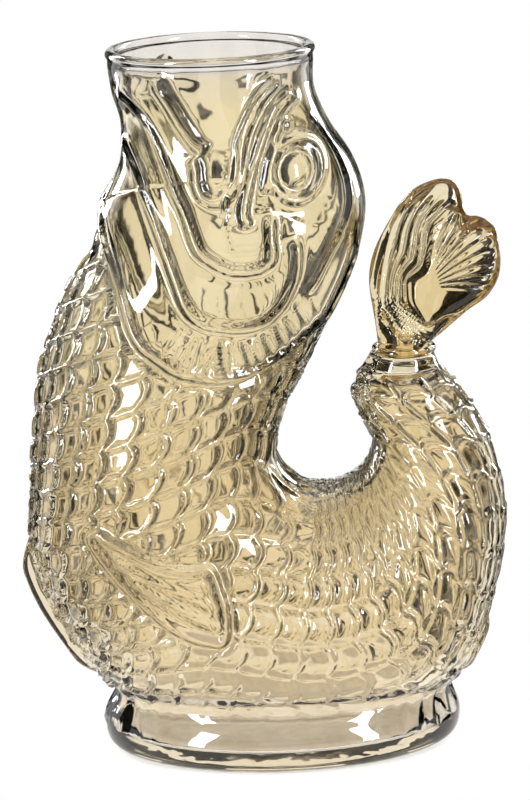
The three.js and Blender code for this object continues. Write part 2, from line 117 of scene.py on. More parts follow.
# Each point lies on a spoke from the middle of its section, which is followed outwards to where it first
# leaves the glass, so that the foot keeps its waist. Lengths along a spoke are shares of the half section.
SCAN = (0.3, 2.4)
SCAN_STEP = 0.05
HALVINGS = 18


def skin(place, angle, inset=0.0, floor=0.0):
    """Points of the vessel by section and by angle from the belly, with the foot melted into the body."""
    back_x, back_z, belly_x, belly_z, half = np.moveaxis(spline(OUTLINE, place), -1, 0)
    zero = np.zeros_like(half)
    hub = np.stack([(back_x + belly_x) / 2, zero, (back_z + belly_z) / 2], -1)
    lean = np.cos(angle) / 2
    spoke = np.stack([(belly_x - back_x) * lean, half * np.sin(angle), (belly_z - back_z) * lean], -1)
    reach = np.linalg.norm(spoke, axis=-1)

    def clear(k):
        x, y, z = np.moveaxis(hub + k[..., None] * spoke, -1, 0)
        oval = np.maximum(np.hypot(x / FOOT_HALF[0], y / FOOT_HALF[1]), 1e-6)
        above = (z - FOOT_WIDEST) / (FOOT_WAIST[0] - FOOT_WIDEST)
        below = (FOOT_WIDEST - z) / FOOT_WIDEST
        flare = np.where(above > 0, FOOT_WAIST[1] * above**2, FOOT_TUCK * below**2)
        side = np.hypot(x, y) * (1 - 1 / oval) + flare + inset
        foot = -soft_min(-side, z - floor, FOOT_EDGE)
        return soft_min((k - 1) * reach + inset, foot, FOOT_FILLET)

    inner = np.full(reach.shape, SCAN[0])
    outer = np.full(reach.shape, SCAN[1])
    crossed = np.zeros(reach.shape, bool)
    for k in np.arange(SCAN[0] + SCAN_STEP, SCAN[1], SCAN_STEP):
        now = ~crossed & (clear(np.full(reach.shape, k)) >= 0)
        inner[now] = k - SCAN_STEP
        outer[now] = k
        crossed |= now
    for _ in range(HALVINGS):
        middle = (inner + outer) / 2
        within = clear(middle) < 0
        inner = np.where(within, middle, inner)
        outer = np.where(within, outer, middle)
    points = hub + ((inner + outer) / 2)[..., None] * spoke
    points[..., 2] = np.maximum(points[..., 2], floor)
    return points


# Rows of points run at even steps along the flank and the belly, and closer together on the head.
ROWS = 540
HALF_COLUMNS = 144
FINE_STEPS = 1201
FLANK_SHARE = 0.55
BELLY_SHARE = 0.45
HEAD_END = 7.2
HEAD_CROWDING = 1.6
fine = np.linspace(0, LAST, FINE_STEPS)
belly_line = skin(fine, np.zeros_like(fine))
flank_line = skin(fine, np.full_like(fine, math.pi / 2))
pace = FLANK_SHARE * np.linalg.norm(np.diff(flank_line, axis=0), axis=1)
pace += BELLY_SHARE * np.linalg.norm(np.diff(belly_line, axis=0), axis=1)
pace *= np.where(fine[1:] < HEAD_END, HEAD_CROWDING, 1.0)
travel = np.concatenate([[0], np.cumsum(pace)])
rows = np.interp(np.linspace(0, travel[-1], ROWS), travel, fine)


# Columns stand wider apart under the foot and closer together on the belly's thin fins. Their angles are
# smoothed from row to row, which keeps creases out of the glass.
TRIALS = 241
UNDERSIDE = 0.3
KEEL_CROWDING = 2
KEEL_REACH = 4
ANGLE_PASSES = 60


def even_angles(places, inset=0.0, floor=0.0):
    """Angles that set the columns at even steps round each half section, from belly to back."""
    trial = np.linspace(0, math.pi, TRIALS)
    grid = np.broadcast_to(trial, (len(places), len(trial)))
    loop = skin(np.broadcast_to(places[:, None], grid.shape), grid, inset, floor)
    step = np.linalg.norm(np.diff(loop, axis=1), axis=2)
    _, side, height = np.moveaxis((loop[:, 1:] + loop[:, :-1]) / 2, -1, 0)
    step *= UNDERSIDE + (1 - UNDERSIDE) * ease(floor + 1, floor + 4, height)
    on_keel = np.exp(-((side / KEEL_REACH) ** 2)) * (trial[1:] < math.pi / 2) * ease(8, 45, height)
    step *= 1 + KEEL_CROWDING * on_keel
    length = np.concatenate([np.zeros((len(places), 1)), np.cumsum(step, axis=1)], axis=1)
    share = np.linspace(0, 1, HALF_COLUMNS + 1)
    turns = np.stack([np.interp(share * run[-1], run, trial) for run in length])
    for _ in range(ANGLE_PASSES):
        turns[1:-1] = (turns[:-2] + 2 * turns[1:-1] + turns[2:]) / 4
    return turns


angles = even_angles(rows)
places = np.broadcast_to(rows[:, None], angles.shape)
outside = skin(places, angles)


def face_normals(points):
    """Outward normals of a half skin, whose first and last columns lie in the fish's own plane."""
    whole = np.concatenate([points[:, 1:2] * [1, -1, 1], points, points[:, -2:-1] * [1, -1, 1]], axis=1)
    along = np.gradient(whole, axis=0)
    across = np.gradient(whole, axis=1)
    normal = np.cross(across, along)[:, 1:-1]
    return normal / np.maximum(np.linalg.norm(normal, axis=2, keepdims=True), 1e-9)


normals = face_normals(outside)


# The relief is drawn as lines on the side view. A section past whose ends a point lies counts as a miss.
LINE_STEPS = 90
CHORD_HALF = 0.52
MISS_COST = 100


def flank_places(points):
    """Section and angle for a smooth line drawn on the side view, given as x and z."""
    line = spline(points, np.linspace(0, len(points) - 1, LINE_STEPS))
    scan = spline(OUTLINE, fine)
    back, chord = scan[:, 0:2], scan[:, 2:4] - scan[:, 0:2]
    found = []
    for point in line:
        offset = point - back
        size = np.hypot(chord[:, 0], chord[:, 1])
        off_plane = np.abs(chord[:, 0] * offset[:, 1] - chord[:, 1] * offset[:, 0]) / size
        share = (offset * chord).sum(1) / size**2
        off_plane = off_plane + MISS_COST * np.maximum(np.abs(share - 0.5) - CHORD_HALF, 0)
        best = int(np.argmin(off_plane))
        found.append((fine[best], math.acos(np.clip(2 * share[best] - 1, -1, 1))))
    return np.array(found)


def line_distance(points):
    """Distance over the skin to a drawn line, positive on its left as seen from the near side, and the
    share of the line's length at the nearest point."""
    path = flank_places(points)
    curve = skin(path[:, 0], path[:, 1])
    steps = np.diff(curve, axis=0)
    best = np.full(outside.shape[:2], 1e9)
    signed = np.zeros(outside.shape[:2])
    share = np.zeros(outside.shape[:2])
    for i, step in enumerate(steps):
        size = max(float(step @ step), 1e-9)
        f = np.clip(((outside - curve[i]) @ step) / size, 0, 1)
        gap = outside - curve[i] - f[..., None] * step
        away = np.linalg.norm(gap, axis=2)
        side = np.sign((np.cross(step, normals) * gap).sum(2))
        nearer = away < best
        best = np.where(nearer, away, best)
        signed = np.where(nearer, np.where(side == 0, 1, side) * away, signed)
        share = np.where(nearer, (i + f) / len(steps), share)
    return signed, share


def ridge(points, height, spread, fade=0.08):
    """A rounded raised line drawn on the flank, which dies away at both ends."""
    away, share = line_distance(points)
    ends = ease(0, fade, share) * ease(0, fade, 1 - share)
    return height * ends * np.exp(-(np.abs(away / spread) ** 3))


x, y, z = np.moveaxis(outside, -1, 0)
relief = np.zeros_like(x)

# Three overlapping plates close the gills. Each is thickest at its free edge, where it steps down onto
# the next one towards the tail.
GILL = [(-53, 222), (-57.8, 197.8), (-54, 181.8), (-50.6, 167.9), (-47, 160), (-41.4, 155.1),
        (-33.9, 149.9), (-27, 147.6), (-19.4, 146.3), (-11.7, 146.9), (-5.2, 148.9), (4.6, 153.8),
        (14, 160.8), (20.8, 166.7), (29.5, 184), (34.5, 198)]
CHIN = [(-51, 233), (-47.3, 223.5), (-44.3, 215.5), (-39, 201), (-34.4, 186.4), (-30.4, 173.4),
        (-24.9, 167.6), (-17.4, 165.2), (-7.9, 164.7), (-0.7, 166.9), (5.9, 173.4), (10.1, 182.2),
        (11.6, 191.3), (11.2, 199)]
CHEEK = [(-53, 248), (-45.3, 243.8), (-40.1, 237.1), (-36, 226.5), (-32, 214.9), (-28.5, 205.7),
         (-25.1, 194.1), (-20.3, 189.1), (-12.8, 185.4), (-3.9, 185.5), (1.6, 188.5), (3, 192.3),
         (3.2, 200), (3.6, 207)]
PLATE_EDGE = 1.0
PLATE_FADE = 30
ROLL_IN = 2.2
ROLL_HALF = 1.5
FURROW_HALF = 1.4
FURROW_SHARE = 0.2


def plate(points, step, roll):
    """A plate on the head side of a drawn edge, which ends in a rolled rim with a furrow beside it."""
    away, share = line_distance(points)
    thick = step * ease(-PLATE_EDGE, PLATE_EDGE, away) * np.exp(-np.maximum(away, 0) / PLATE_FADE)
    rolled = roll * np.exp(-(((away - ROLL_IN) / ROLL_HALF) ** 2))
    furrow = -FURROW_SHARE * step * np.exp(-(((away + ROLL_IN) / FURROW_HALF) ** 2))
    ends = ease(0, 0.05, share) * ease(0, 0.06, 1 - share)
    return ends * (thick + rolled + furrow), away, share


gill, gill_away, gill_share = plate(GILL, step=3.2, roll=0.9)
chin, chin_away, _ = plate(CHIN, step=1.7, roll=1.0)
cheek, _, _ = plate(CHEEK, step=1.7, roll=1.0)
relief += gill + chin + cheek

# A frill of small pleats fills the band between the outer two plates.
FRILLS = 34
FRILL_HEIGHT = 0.6
frill = ease(2, 5, gill_away) * ease(-2, -5, chin_away)
frill = frill * ease(0.3, 0.42, gill_share) * ease(0.86, 0.74, gill_share)
relief += FRILL_HEIGHT * frill * np.cos(2 * math.pi * gill_share * FRILLS)

# The lips run down from the rim and hook round the corner of the mouth, with two folds beside them.
FRONT_LIP = [(-36, 256), (-34.2, 252), (-30.6, 246), (-26, 237.5), (-22.4, 231.8), (-18.9, 229)]
HOOKED_LIP = [(7, 253), (0.4, 247.9), (-4.3, 240.3), (-7.5, 232.4), (-8.7, 224.4), (-9.6, 218.2),
              (-13, 213.2), (-16.8, 211.4), (-20.6, 213.3), (-22.3, 218.3), (-22.6, 224), (-24.3, 227.5)]
INNER_FOLD = [(12, 248.5), (5.3, 243.5), (1.2, 236), (-1.6, 228.9), (-3.7, 222.9), (-5.2, 218),
              (-7.5, 207), (-5.2, 201)]
OUTER_FOLD = [(14.5, 247), (8.5, 241.8), (5, 236.2), (3.5, 229.7), (1, 222), (0.5, 212)]
relief += ridge(FRONT_LIP, height=2.4, spread=2.7)
relief += ridge(HOOKED_LIP, height=2.4, spread=2.3, fade=0.05)
relief += ridge(INNER_FOLD, height=2.0, spread=1.9)
relief += ridge(OUTER_FOLD, height=1.7, spread=1.8)

# The eye is a domed disc inside a raised ring, with a small nostril before it.
EYE = (11.6, 220.5)
EYE_HALF = (8.8, 10.2)
EYE_RING_HEIGHT = 1.9
EYE_RING_HALF = 1.7
EYE_DOME = 2.4
EYE_DOME_SHARE = 0.62
EYE_DOME_FULLNESS = 0.6
eye_out = np.hypot((x - EYE[0]) / EYE_HALF[0], (z - EYE[1]) / EYE_HALF[1])
relief += EYE_RING_HEIGHT * np.exp(-(((eye_out - 1) * EYE_HALF[0] / EYE_RING_HALF) ** 2))
relief += EYE_DOME * np.clip(1 - (eye_out / EYE_DOME_SHARE) ** 2, 0, None) ** EYE_DOME_FULLNESS
NOSTRIL = (7.6, 236)
NOSTRIL_RADIUS = 2.2
NOSTRIL_HEIGHT = 0.9
NOSTRIL_HALF = 1.1
nostril = np.hypot(x - NOSTRIL[0], z - NOSTRIL[1]) - NOSTRIL_RADIUS
relief += NOSTRIL_HEIGHT * np.exp(-((nostril / NOSTRIL_HALF) ** 2))

# A crest runs from the brow down the back of the head.
CREST = [(17.1, 240), (23, 230.4), (27.8, 222), (30.7, 213), (30.8, 204), (26.8, 196.4), (22.7, 190.7),
         (17.8, 182.2), (12.8, 174)]
CREST_HEIGHT = 2.0
CREST_EDGE = 1.4
CREST_FADE = 9
crest, crest_share = line_distance(CREST)
crest_ends = ease(0, 0.1, crest_share) * ease(0, 0.1, 1 - crest_share)
crest_height = CREST_HEIGHT * crest_ends * ease(CREST_EDGE, -CREST_EDGE, crest)
relief += crest_height * np.exp(-np.maximum(-crest, 0) / CREST_FADE)

# The pectoral fin is a low leaf on the flank with a rolled rim, and rays that fan from its root.
PECTORAL_EDGE = [(-64, 95), (-68, 90), (-60, 77.4), (-50.9, 67), (-38.7, 56), (-27.7, 51), (-19.5, 51),
                 (-17.5, 60), (-20, 72), (-24, 80.4), (-33, 81), (-42.2, 83.5), (-52.8, 89.2), (-64, 95)]
PECTORAL_ROOT = (-76, 93)
PECTORAL_RAYS = 58
RAY_HEIGHT = 0.45
RAY_SWEEP = 0.05
LEAF_SLOPE = 1.2
LEAF_HEIGHT = 1.5
LEAF_FADE = 16
LEAF_RIM_HEIGHT = 1.3
LEAF_RIM_IN = 1.9
LEAF_GROOVE_DEPTH = 0.7
LEAF_GROOVE_IN = 5
LEAF_LINE_HALF = 1.4
leaf_edge = spline(PECTORAL_EDGE, np.linspace(0, len(PECTORAL_EDGE) - 1, LINE_STEPS))
in_leaf = np.zeros(x.shape, bool)
for start, end in zip(leaf_edge[:-1], leaf_edge[1:]):
    level = (start[1] > z) != (end[1] > z)
    cross_x = start[0] + (z - start[1]) * (end[0] - start[0]) / (end[1] - start[1] + 1e-9)
    in_leaf ^= level & (x < cross_x)
leaf = np.where(in_leaf, 1, -1) * np.abs(line_distance(PECTORAL_EDGE)[0])
ray_turn = np.arctan2(PECTORAL_ROOT[1] - z, x - PECTORAL_ROOT[0])
ray_reach = np.hypot(PECTORAL_ROOT[1] - z, x - PECTORAL_ROOT[0])
rays = RAY_HEIGHT * np.cos(ray_turn * PECTORAL_RAYS + RAY_SWEEP * ray_reach) * ease(3, 6, leaf)
leaf_rim = LEAF_RIM_HEIGHT * np.exp(-(((leaf - LEAF_RIM_IN) / LEAF_LINE_HALF) ** 2))
leaf_groove = LEAF_GROOVE_DEPTH * np.exp(-(((leaf - LEAF_GROOVE_IN) / LEAF_LINE_HALF) ** 2))
leaf_height = LEAF_HEIGHT * np.exp(-np.maximum(leaf, 0) / LEAF_FADE) + rays + (leaf_rim - leaf_groove)
relief += ease(-LEAF_SLOPE, LEAF_SLOPE, leaf) * leaf_height

# Two thin smooth fins follow the belly, one below the throat and one below the tail. Each rises and ends
# between two places, which are counted in sections.
THROAT_FIN = 6.6
THROAT_FIN_RISES = (9.6, 10.25)
THROAT_FIN_ENDS = (11.8, 11.35)
LOW_FIN = 4.8
LOW_FIN_RISES = (14.95, 15.25)
LOW_FIN_ENDS = (16.0, 15.6)
KEEL_HALF = 2.7
throat_fin = THROAT_FIN * ease(*THROAT_FIN_RISES, places) * ease(*THROAT_FIN_ENDS, places)
low_fin = LOW_FIN * ease(*LOW_FIN_RISES, places) * ease(*LOW_FIN_ENDS, places)
belly_side = angles < math.pi / 2
keel = np.where(belly_side, np.exp(-((y / KEEL_HALF) ** 8)), 0)
relief += (throat_fin + low_fin) * keel

# Scales lie behind the gills like a sheet over the flank: in straight rows on the front of the body, and
# bent round the gap from the belly on. Each has a rounded free edge, and a net of raised ridges runs along
# the edges of all of them.
SCALE_LONG = 10.4
SCALE_WIDE = 12.2
SHEET_TURN = 13.1
SCALE_LIFT = 1.0
SCALE_DOME = 0.3
SCALE_PILLOW = 1.5
NET_HEIGHT = 1.9
NET_HALF = 1.0
NET_SIDES = 0.8
EDGE_BOW = 0.33
EDGE_ROUNDING = 2.2
LIFT_FADE = 1.3
DEEPER = 0.6
flank_run = np.concatenate([[0], np.cumsum(np.linalg.norm(np.diff(flank_line, axis=0), axis=1))])
run = np.interp(rows, fine, flank_run)
loop_steps = np.linalg.norm(np.diff(outside, axis=1), axis=2)
loop = np.concatenate([np.zeros((ROWS, 1)), np.cumsum(loop_steps, axis=1)], axis=1)
lateral = np.array([np.interp(math.pi / 2, turn, length) for turn, length in zip(angles, loop)])
rise = loop - lateral[:, None]
section = spline(OUTLINE, rows)
to_back = section[:, 0:2] - section[:, 2:4]
to_back /= np.linalg.norm(to_back, axis=1, keepdims=True)
middle = np.stack([np.interp(rows, fine, flank_line[:, 0]), np.interp(rows, fine, flank_line[:, 2])], -1)
sheet = middle[:, None] + rise[..., None] * to_back[:, None]
bend = np.searchsorted(rows, SHEET_TURN)
sheet_up = to_back[bend]
sheet_along = np.array([sheet_up[1], -sheet_up[0]])
straight = places < SHEET_TURN
order = np.where(straight, (sheet - middle[bend]) @ sheet_along, (run - run[bend])[:, None]) / SCALE_LONG
column = np.where(straight, (sheet - middle[bend]) @ sheet_up, rise) / SCALE_WIDE

# Each row slips sideways against the row before it, by a share of a scale that changes along the fish.
SLIP_ROWS = (-4, -2, 3, 6)
SLIP_SHARES = (0.5, 0, 0, 0.42)
count = np.linspace(-20, 40, 601)
slip = np.interp(count, SLIP_ROWS, SLIP_SHARES)
slipped = np.cumsum(slip) * (count[1] - count[0])
column = column - np.interp(order, count, slipped)
off = column - np.round(column)
bow = 1 - np.abs(2 * off) ** EDGE_ROUNDING
edge = EDGE_BOW * bow
behind = edge - (order - np.ceil(order - edge))

# Scales are lower where their rows crowd on the inside of the bend.
stride = np.linalg.norm(np.gradient(outside, axis=0), axis=2)
mid_stride = np.linalg.norm(np.gradient(outside[:, HALF_COLUMNS // 2], axis=0), axis=1)[:, None]
room = np.clip(1.1 * stride / mid_stride, 0.2, 1)
scale_height = SCALE_LIFT * (1 - behind) ** LIFT_FADE * ease(0, 0.2, behind) * (0.4 + 0.6 * bow)
pillow = SCALE_PILLOW * ease(11, 13, places) * ease(19, 17, places)
scale_height = scale_height + bow * (SCALE_DOME + pillow * 4 * behind * (1 - behind))
arc_away = np.minimum(behind, 1 - behind) * SCALE_LONG
side_away = (0.5 - np.abs(off)) * SCALE_WIDE
net = np.exp(-((arc_away / NET_HALF) ** 2))
net = np.maximum(net, NET_SIDES * np.exp(-((side_away / NET_HALF) ** 2)))
scale_height = scale_height + NET_HEIGHT * net

# They stop at the gills, the nape, the foot, the end of the tail and all fins, and are highest low down.
scaled = ease(-1.5, -5, gill_away) * ease(3, 4, places)
scaled = np.where(places > 7.6, 1.0, scaled)
scaled = scaled * np.where(angles > 2, ease(6.3, 7.3, places), 1)
scaled = scaled * ease(18, 30, z) * ease(21.3, 20.6, places) * ease(0, -3, leaf)
beside_keel = np.where(belly_side, ease(2.5, 6, np.abs(y)), 1)
scaled = scaled * np.where(throat_fin + low_fin > 0.5, beside_keel, 1)
deep = 1 + DEEPER * ease(9.5, 12, places) * ease(16.5, 14.5, places)
relief += scaled * room * deep * scale_height

# All relief dies away towards the rim and the foot.
RIM_PLAIN = (0.25, 0.8)
FOOT_PLAIN = (3, 9)
relief *= ease(*RIM_PLAIN, places) * ease(*FOOT_PLAIN, z)
skin_out = outside + relief[..., None] * normals

# The inside follows the mould softly, and the base and the tail's end are thicker.
INNER_ROWS = 120
INNER_FOLLOW = 0.75
INNER_PASSES = 40
END_WALL = 9.0
TAIL_FROM = 18.5
in_tail = fine > TAIL_FROM
inner_last = np.interp(JOINT[1] - END_WALL, flank_line[in_tail, 2], fine[in_tail])
inner_rows = np.interp(np.linspace(0, np.interp(inner_last, fine, travel), INNER_ROWS), travel, fine)
inner_angles = even_angles(inner_rows, WALL, BASE)
inner_places = np.broadcast_to(inner_rows[:, None], inner_angles.shape)
skin_in = skin(inner_places, inner_angles, WALL, BASE)
soft_relief = relief
for _ in range(INNER_PASSES):
    padded = np.pad(soft_relief, 1, mode="edge")
    beside = padded[:-2, 1:-1] + padded[2:, 1:-1] + padded[1:-1, :-2] + padded[1:-1, 2:]
    soft_relief = (beside + 4 * soft_relief) / 8
follow = np.stack([np.interp(turn, angles[row], soft_relief[row])
                   for turn, row in zip(inner_angles, np.searchsorted(rows, inner_rows))])
follow *= ease(BASE + 6, BASE + 16, skin_in[..., 2])
skin_in = skin_in + INNER_FOLLOW * follow[..., None] * face_normals(skin_in)

# The rim is a round bead, a little thicker than the wall below it.
RIM_RADIUS = 1.9
RIM_STEPS = 13
RIM_WRAP = 0.8
NECK_TO = 3
rim_turn = np.linspace(-RIM_WRAP, math.pi + RIM_WRAP, RIM_STEPS)[:, None, None]
rim_middle = (skin_in[0] + skin_out[0]) / 2
rim_middle[:, 2] = HEIGHT - RIM_RADIUS
rim_out = skin_out[0] - skin_in[0]
rim_out /= np.linalg.norm(rim_out, axis=1, keepdims=True)
rim = rim_middle + RIM_RADIUS * (np.cos(rim_turn) * rim_out + np.sin(rim_turn) * np.array([0, 0, 1]))
in_neck = fine < NECK_TO
below_rim = np.interp(-(HEIGHT - 3 * RIM_RADIUS), -flank_line[in_neck, 2], fine[in_neck])
first = np.searchsorted(rows, below_rim)
first_in = np.searchsorted(inner_rows, below_rim)
half_rings = np.concatenate([skin_out[:first - 1:-1], rim, skin_in[first_in:]])


def glass_piece(name, points, faces):
    """A smooth object from points in metres and the faces between them."""
    mesh = bpy.data.meshes.new(name)
    mesh.from_pydata(points.tolist(), [], faces)
    mesh.polygons.foreach_set("use_smooth", [True] * len(mesh.polygons))
    mesh.update()
    piece = bpy.data.objects.new(name, mesh)
    bpy.context.scene.collection.objects.link(piece)
    return piece


def closed_mesh(name, half):
    """A closed skin from half rings that lie on one side of the fish's plane, mirrored and capped."""
    rings = np.concatenate([half, half[:, -2:0:-1] * [1, -1, 1]], axis=1) / 1000
    count, columns = rings.shape[:2]
    points = np.concatenate([rings.reshape(-1, 3), rings[:1].mean(1), rings[-1:].mean(1)])
    base = np.arange(count - 1)[:, None] * columns
    here = base + np.arange(columns)
    there = base + (np.arange(columns) + 1) % columns
    quads = np.stack([there, here, here + columns, there + columns], -1).reshape(-1, 4)
    turn = np.arange(columns)
    tip = len(points) - 2
    caps = [(tip, i, (i + 1) % columns) for i in turn]
    top = (count - 1) * columns
    caps += [(tip + 1, top + (i + 1) % columns, top + i) for i in turn]
    return glass_piece(name, points, quads.tolist() + caps)


CHAMPAGNE = (0.945, 0.87, 0.68)
GOLDEN = (0.905, 0.8, 0.585)
PALE_FOOT = (0.93, 0.875, 0.79)
PALE_RIM = (0.85, 0.815, 0.77)
DEPTH_TINT = (0.74, 0.55, 0.03)
INSIDE_BLUR = 0.055
SMEAR = 0.03
GLASS_IOR = 1.5
RIPPLE_SCALE = 90
RIPPLE_STRENGTH = 0.25


def champagne_glass(name, ripple, density):
    """Glass tinted at its skin and through its depth, paler at the rim and the foot, with the faint ripple
    that a mould leaves. Its inside is a little rougher."""
    material = bpy.data.materials.new(name)
    material.use_nodes = True
    nodes, links = material.node_tree.nodes, material.node_tree.links
    shader = nodes["Principled BSDF"]
    shader.inputs["Transmission Weight"].default_value = 1.0
    shader.inputs["IOR"].default_value = GLASS_IOR
    place = nodes.new("ShaderNodeTexCoord")
    parts = nodes.new("ShaderNodeSeparateXYZ")
    links.new(place.outputs["Object"], parts.inputs["Vector"])
    ramp = nodes.new("ShaderNodeValToRGB")
    ramp.color_ramp.elements[0].position = 0.03
    ramp.color_ramp.elements[0].color = (*PALE_FOOT, 1)
    ramp.color_ramp.elements[1].position = 0.14
    ramp.color_ramp.elements[1].color = (*GOLDEN, 1)
    for position, color in ((0.45, GOLDEN), (0.62, CHAMPAGNE), (0.93, CHAMPAGNE), (0.98, PALE_RIM)):
        stop = ramp.color_ramp.elements.new(position)
        stop.color = (*color, 1)
    tall = nodes.new("ShaderNodeMath")
    tall.operation = "DIVIDE"
    tall.inputs[1].default_value = HEIGHT / 1000
    links.new(parts.outputs["Z"], tall.inputs[0])
    links.new(tall.outputs["Value"], ramp.inputs["Fac"])
    links.new(ramp.outputs["Color"], shader.inputs["Base Color"])
    cloud = nodes.new("ShaderNodeTexNoise")
    cloud.inputs["Scale"].default_value = RIPPLE_SCALE
    cloud.inputs["Detail"].default_value = 2
    links.new(place.outputs["Object"], cloud.inputs["Vector"])
    gloss = nodes.new("ShaderNodeMapRange")
    gloss.inputs["To Min"].default_value = 0.0
    gloss.inputs["To Max"].default_value = SMEAR
    links.new(cloud.outputs["Fac"], gloss.inputs["Value"])
    soft = nodes.new("ShaderNodeAttribute")
    soft.attribute_name = "inside"
    blur = nodes.new("ShaderNodeMath")
    blur.operation = "MULTIPLY_ADD"
    blur.inputs[1].default_value = INSIDE_BLUR
    links.new(soft.outputs["Fac"], blur.inputs[0])
    links.new(gloss.outputs["Result"], blur.inputs[2])
    links.new(blur.outputs["Value"], shader.inputs["Roughness"])
    wave = nodes.new("ShaderNodeBump")
    wave.inputs["Strength"].default_value = RIPPLE_STRENGTH
    wave.inputs["Distance"].default_value = ripple
    links.new(cloud.outputs["Fac"], wave.inputs["Height"])
    links.new(wave.outputs["Normal"], shader.inputs["Normal"])
    depth = nodes.new("ShaderNodeVolumeAbsorption")
    depth.inputs["Color"].default_value = (*DEPTH_TINT, 1)
    depth.inputs["Density"].default_value = density
    links.new(depth.outputs["Volume"], nodes["Material Output"].inputs["Volume"])
    return material


body = closed_mesh("blown_body", half_rings)
inside = np.zeros(len(body.data.vertices))
outer_rings = len(half_rings) - len(skin_in) + first_in
inside[outer_rings * 2 * HALF_COLUMNS:] = 1
body.data.attributes.new("inside", "FLOAT", "POINT").data.foreach_set("value", inside)
body.data.materials.append(champagne_glass("champagne_blown_glass", ripple=0.0006, density=5))
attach(body, "root")
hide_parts("glass_body")


# The ring at the joint
# A thread of the same champagne glass, laid hot round the stub of the tail where the solid fin is stuck on.
# It waves a little, as a thread laid by hand does, and hides the seam.
BEAD_HEIGHT = 3.2
BEAD_BULGE = 0.6
BEAD_WAVE = 0.25
BEAD_COLUMNS = 49
BEAD_STEPS = 25
STALK_RADIUS = 9.4
JOIN_GAP = 0.3
bead_wall = (JOINT_RADIUS + BEAD_BULGE - STALK_RADIUS - JOIN_GAP) / 2
bead_middle = STALK_RADIUS + JOIN_GAP + bead_wall
half_turn = np.linspace(0, math.pi, BEAD_COLUMNS)
whole_turn = np.linspace(0, 2 * math.pi, BEAD_STEPS)
bead_turn, bead_round = np.meshgrid(half_turn, whole_turn)
bead_out = bead_middle + bead_wall * np.cos(bead_round)
bead_up = JOINT[1] + JOIN_GAP + BEAD_HEIGHT / 2 * (1 + np.sin(bead_round))
bead_up = bead_up + BEAD_WAVE * np.cos(2 * bead_turn)
bead_half = np.stack([JOINT[0] + bead_out * np.cos(bead_turn), bead_out * np.sin(bead_turn), bead_up], -1)


def ring_mesh(name, half):
    """A closed ring from half hoops that are mirrored across the fish's plane."""
    hoops = np.concatenate([half, half[:, -2:0:-1] * [1, -1, 1]], axis=1)[:-1] / 1000
    count, columns = hoops.shape[:2]
    row = np.arange(count)[:, None] * columns
    above = (np.arange(count)[:, None] + 1) % count * columns
    here, there = np.arange(columns), (np.arange(columns) + 1) % columns
    quads = np.stack([row + here, row + there, above + there, above + here], -1).reshape(-1, 4)
    return glass_piece(name, hoops.reshape(-1, 3), quads.tolist())


bead = ring_mesh("joint_ring", bead_half)
bead.data.materials.append(champagne_glass("champagne_thread_glass", ripple=0.0002, density=20))
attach(bead, "root")
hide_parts("tail_bead")


# The tail fin
# A solid fan of the same glass, pressed hot between ribbed plates and stuck on the end of the tail. Solid
# glass is several times as deep as the wall, so it looks a darker amber.
FIN_FLOOR = JOINT[1] + JOIN_GAP
FIN_SPAN = 50.0
FIN_RISE = 65.0
FIN_HALF = 9.5
FIN_TWIST = 3.0


def on_fin(across, up):
    return JOINT[0] + across * FIN_SPAN / 100, FIN_FLOOR + up * FIN_RISE / 100


# Sections up the fin from its stalk, each from its left to its right edge, with its half thickness.
FIN_OUTLINE = np.array([(*left, *right, half) for left, right, half in [
    ((JOINT[0] - STALK_RADIUS, FIN_FLOOR), (JOINT[0] + STALK_RADIUS, FIN_FLOOR), STALK_RADIUS),
    ((JOINT[0] - STALK_RADIUS, FIN_FLOOR + BEAD_HEIGHT), (JOINT[0] + STALK_RADIUS, FIN_FLOOR + BEAD_HEIGHT),
     STALK_RADIUS),
    (on_fin(-20.6, 18.8), on_fin(30.2, 12.3), FIN_HALF),
    (on_fin(-23.6, 36), on_fin(47.6, 23.7), 0.95 * FIN_HALF),
    (on_fin(-23.2, 47.8), on_fin(61.8, 31.7), 0.86 * FIN_HALF),
    (on_fin(-19, 59.4), on_fin(70.2, 41.5), 0.74 * FIN_HALF),
    (on_fin(-11.2, 71.1), on_fin(72.6, 51.8), 0.62 * FIN_HALF),
    (on_fin(-0.8, 84), on_fin(71.4, 61.7), 0.5 * FIN_HALF),
]])
# The free edge from left to right: a tall lobe, a notch and the lower lobe that laps in front of it.
FIN_TOP = np.array([on_fin(*point) for point in [
    (-0.8, 84), (10.2, 92.9), (21, 97.1), (31.6, 98.9), (40.2, 96.9), (45.2, 90.2), (46.8, 82.5), (50, 78),
    (56, 77.6), (63, 75.4), (69.4, 70.3), (71.4, 61.7)]])
FIN_ROWS = 170
FIN_COLUMNS = 260
FIN_ROUNDING = 0.16

# Rows run at even steps up the fan, and crowd towards its free edge.
fin_step = np.linspace(0, 1, FIN_ROWS)[:, None]
fin_share = np.where(fin_step < 0.8, fin_step / 0.9, 1 - (1 - fin_step) ** 2 / 0.36)
fin_place = fin_share * (len(FIN_OUTLINE) - 1)
fin_angle = np.linspace(0, 2 * math.pi, FIN_COLUMNS, endpoint=False)[None, :]
fin_shape = spline(FIN_OUTLINE, np.broadcast_to(fin_place, (FIN_ROWS, FIN_COLUMNS)))
left_x, left_z, right_x, right_z, fin_half = np.moveaxis(fin_shape, -1, 0)
fin_across = np.broadcast_to(np.cos(fin_angle), (FIN_ROWS, FIN_COLUMNS))
top_curve = spline(FIN_TOP, (fin_across + 1) / 2 * (len(FIN_TOP) - 1))
top_line = FIN_TOP[0] + (fin_across[..., None] + 1) / 2 * (FIN_TOP[-1] - FIN_TOP[0])
lobes = ease(0.35, 1, fin_share)[..., None] * (top_curve - top_line)
fin_x = (left_x + right_x) / 2 + (right_x - left_x) / 2 * fin_across + lobes[..., 0]
